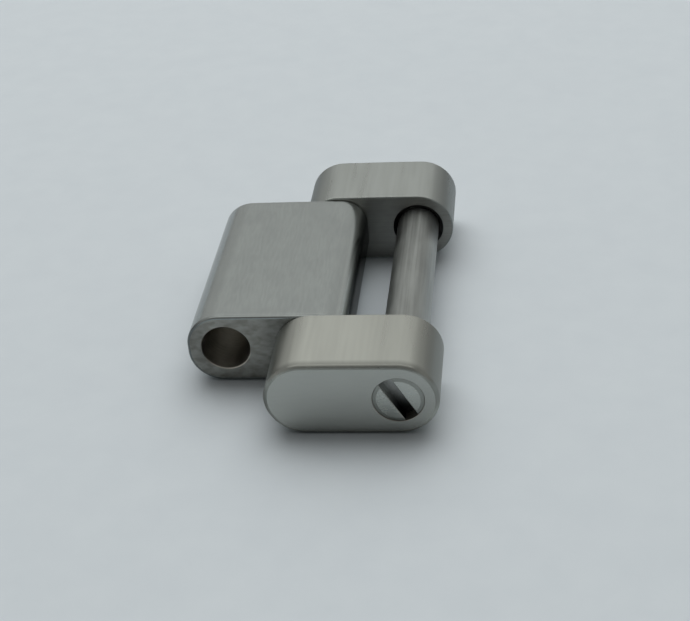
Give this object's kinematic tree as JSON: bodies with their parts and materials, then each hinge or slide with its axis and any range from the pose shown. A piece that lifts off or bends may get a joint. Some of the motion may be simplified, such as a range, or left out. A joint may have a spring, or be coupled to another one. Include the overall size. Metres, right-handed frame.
{
  "type": "watch bracelet link",
  "caption": "Screwed steel watch bracelet link: two outer links joined by a hidden pivot pin to a swinging centre link, with a slotted screw across the open end.",
  "frame": {"origin": "on the underside, below the hidden pivot's axis and in the middle of the width, which is the bottom centre of the whole link's box", "axes": "+X along the bracelet from the open bore towards the screw, +Y across the bracelet from the slotted screw head towards the rear side face, +Z from the underside to the visible top"},
  "size_m": [0.0112, 0.018, 0.0034],
  "materials": {
    "outer_steel": "brushed tops and ends, smooth side faces",
    "centre_steel": "fine satin",
    "pin_steel": "ground bright",
    "screw_steel": "turned bright shank, smooth head"
  },
  "bodies": {
    "outer_frame": {"front_outer_link": "outer_steel", "rear_outer_link": "outer_steel", "pivot_pin": "pin_steel"},
    "centre": {"centre_link": "centre_steel"},
    "screw": {"link_screw": "screw_steel"}
  },
  "joints": [
    {"name": "centre_swing", "type": "hinge", "parent": "outer_frame", "child": "centre", "pos_m": [0, 0, 0.0017], "axis": [0, 1, 0], "range_deg": [-135, 135]},
    {"name": "screw_withdraw", "type": "slide", "parent": "outer_frame", "child": "screw", "axis": [0, -1, 0], "range_m": [0, 0.017]}
  ]
}
